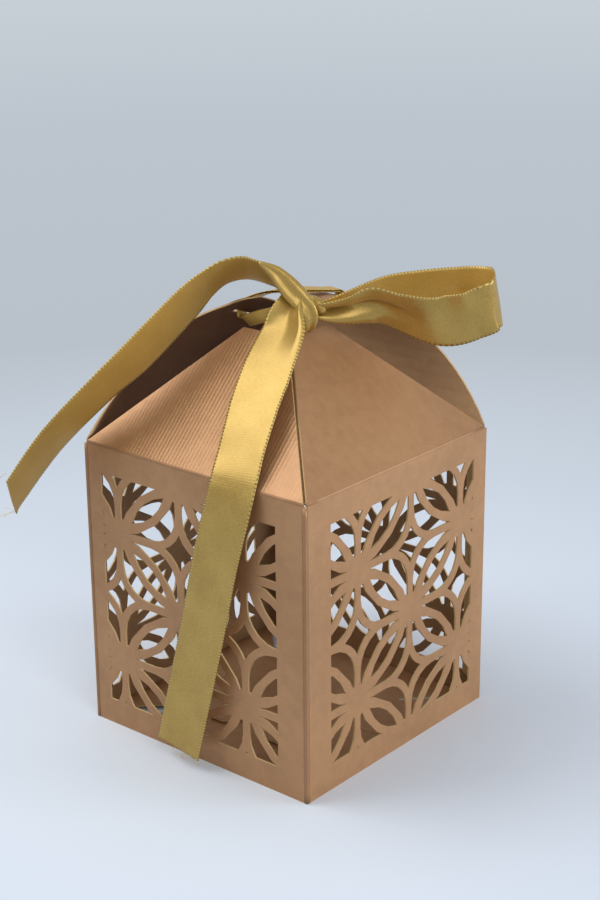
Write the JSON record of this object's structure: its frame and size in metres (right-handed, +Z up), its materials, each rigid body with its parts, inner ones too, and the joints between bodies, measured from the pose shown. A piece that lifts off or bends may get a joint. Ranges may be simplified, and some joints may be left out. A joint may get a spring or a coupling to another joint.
{
  "type": "laser-cut card favour box",
  "caption": "Small square gift box of lattice-cut card with a folded peaked roof, tied at the top with a satin ribbon bow",
  "frame": {"origin": "middle of the square base, on its underside", "axes": "+Z up, -Y out of the front wall that the ribbon's long tail hangs over, +X out of the right wall"},
  "size_m": [0.0765, 0.0814, 0.1033],
  "materials": {
    "pearl_card": "bronze pearl card with a fine linen grain, satin sheen",
    "satin_ribbon": "pale gold satin ribbon with a beaded selvedge"
  },
  "bodies": {
    "sleeve": {"front_wall": "pearl_card", "right_wall": "pearl_card", "back_wall": "pearl_card", "left_wall": "pearl_card", "side_seam_tab": "pearl_card"},
    "front_roof": {"front_roof_flap": "pearl_card"},
    "right_roof": {"right_roof_flap": "pearl_card"},
    "back_roof": {"back_roof_flap": "pearl_card"},
    "left_roof": {"left_roof_flap": "pearl_card"},
    "front_bottom": {"front_bottom_flap": "pearl_card"},
    "back_bottom": {"back_bottom_flap": "pearl_card"},
    "left_dust": {"left_dust_flap": "pearl_card"},
    "right_dust": {"right_dust_flap": "pearl_card"},
    "ribbon": {"ribbon_knot": "satin_ribbon", "ribbon_collar": "satin_ribbon", "ribbon_loop": "satin_ribbon", "ribbon_left_tail": "satin_ribbon", "ribbon_front_tail": "satin_ribbon"}
  },
  "joints": [
    {"name": "front_roof_crease", "type": "hinge", "parent": "sleeve", "child": "front_roof", "pos_m": [0, -0.0298, 0.064], "axis": [1, 0, 0], "range_deg": [0, 130], "deforming": ["ribbon_knot", "ribbon_collar", "ribbon_loop", "ribbon_left_tail", "ribbon_front_tail"]},
    {"name": "right_roof_crease", "type": "hinge", "parent": "sleeve", "child": "right_roof", "pos_m": [0.0298, 0, 0.064], "axis": [0, 1, 0], "range_deg": [0, 130], "deforming": ["ribbon_knot", "ribbon_collar", "ribbon_loop", "ribbon_left_tail", "ribbon_front_tail"]},
    {"name": "back_roof_crease", "type": "hinge", "parent": "sleeve", "child": "back_roof", "pos_m": [0, 0.0298, 0.064], "axis": [-1, 0, 0], "range_deg": [0, 72], "deforming": ["ribbon_knot", "ribbon_collar", "ribbon_loop", "ribbon_left_tail", "ribbon_front_tail"]},
    {"name": "left_roof_crease", "type": "hinge", "parent": "sleeve", "child": "left_roof", "pos_m": [-0.0298, 0, 0.064], "axis": [0, -1, 0], "range_deg": [0, 95], "deforming": ["ribbon_knot", "ribbon_collar", "ribbon_loop", "ribbon_left_tail", "ribbon_front_tail"]},
    {"name": "front_bottom_crease", "type": "hinge", "parent": "sleeve", "child": "front_bottom", "pos_m": [0, -0.02945, 0], "axis": [-1, 0, 0], "range_deg": [0, 100]},
    {"name": "back_bottom_crease", "type": "hinge", "parent": "sleeve", "child": "back_bottom", "pos_m": [0, 0.02945, 0], "axis": [1, 0, 0], "range_deg": [0, 100]},
    {"name": "left_dust_crease", "type": "hinge", "parent": "sleeve", "child": "left_dust", "pos_m": [-0.0293, 0, 0.0011], "axis": [0, -1, 0], "range_deg": [0, 85]},
    {"name": "right_dust_crease", "type": "hinge", "parent": "sleeve", "child": "right_dust", "pos_m": [0.0293, 0, 0.0011], "axis": [0, 1, 0], "range_deg": [0, 85]},
    {"name": "ribbon_lift", "type": "slide", "parent": "sleeve", "child": "ribbon", "axis": [0, 0, 1], "range_m": [0, 0.1], "deforming": ["ribbon_knot", "ribbon_collar", "ribbon_loop", "ribbon_left_tail", "ribbon_front_tail"]}
  ]
}
